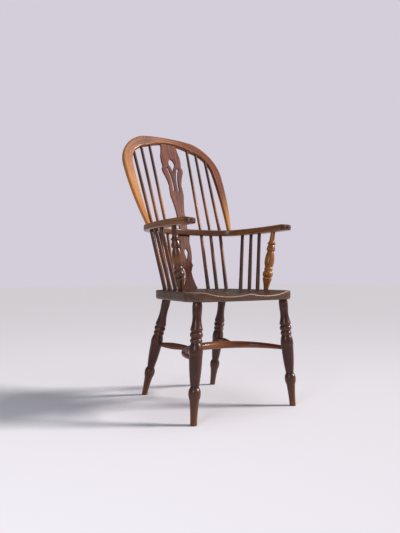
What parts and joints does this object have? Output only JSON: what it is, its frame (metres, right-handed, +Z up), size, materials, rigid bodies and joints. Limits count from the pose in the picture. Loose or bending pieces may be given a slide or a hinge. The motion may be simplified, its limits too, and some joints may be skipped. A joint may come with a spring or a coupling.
{
  "type": "windsor chair",
  "caption": "High-back wooden armchair: saddled seat on turned legs, bent stretcher, flat arm bow on sticks, tall bent hoop and pierced back splat.",
  "frame": {"origin": "on the floor, under the middle of the chair's overall length and width", "axes": "+Z up, the sitter faces -Y, +X is the sitter's left"},
  "size_m": [0.5202, 0.6393, 1.1581],
  "materials": {
    "seat_elm": "grey-brown worn wax polish, matt in the saddle and lighter along its front edge",
    "leg_wood": "very dark stained and waxed, red-brown where it is worn",
    "stretcher_wood": "chestnut red-brown, polished by feet",
    "arm_wood": "golden to grey-brown, glossy at the back and worn dark at the tips",
    "hoop_wood": "golden orange to red-brown, waxed",
    "splat_wood": "red-brown satin",
    "stick_wood": "dark red-brown with orange worn lights",
    "support_wood": "honey-golden, dark in the turned grooves"
  },
  "bodies": {
    "root": {"arm_bow": "arm_wood", "arm_support_left": "support_wood", "arm_support_right": "support_wood", "crinoline_stretcher": "stretcher_wood", "front_leg_left": "leg_wood", "front_leg_right": "leg_wood", "long_stick_left_1": "stick_wood", "long_stick_left_2": "stick_wood", "long_stick_left_3": "stick_wood", "long_stick_right_1": "stick_wood", "long_stick_right_2": "stick_wood", "long_stick_right_3": "stick_wood", "lower_splat": "splat_wood", "rear_leg_left": "leg_wood", "rear_leg_right": "leg_wood", "seat": "seat_elm", "short_stick_left_1": "stick_wood", "short_stick_left_2": "stick_wood", "short_stick_left_3": "stick_wood", "short_stick_right_1": "stick_wood", "short_stick_right_2": "stick_wood", "short_stick_right_3": "stick_wood", "stretcher_spur_left": "stretcher_wood", "stretcher_spur_right": "stretcher_wood", "top_hoop": "hoop_wood", "upper_splat": "splat_wood"}
  },
  "joints": []
}
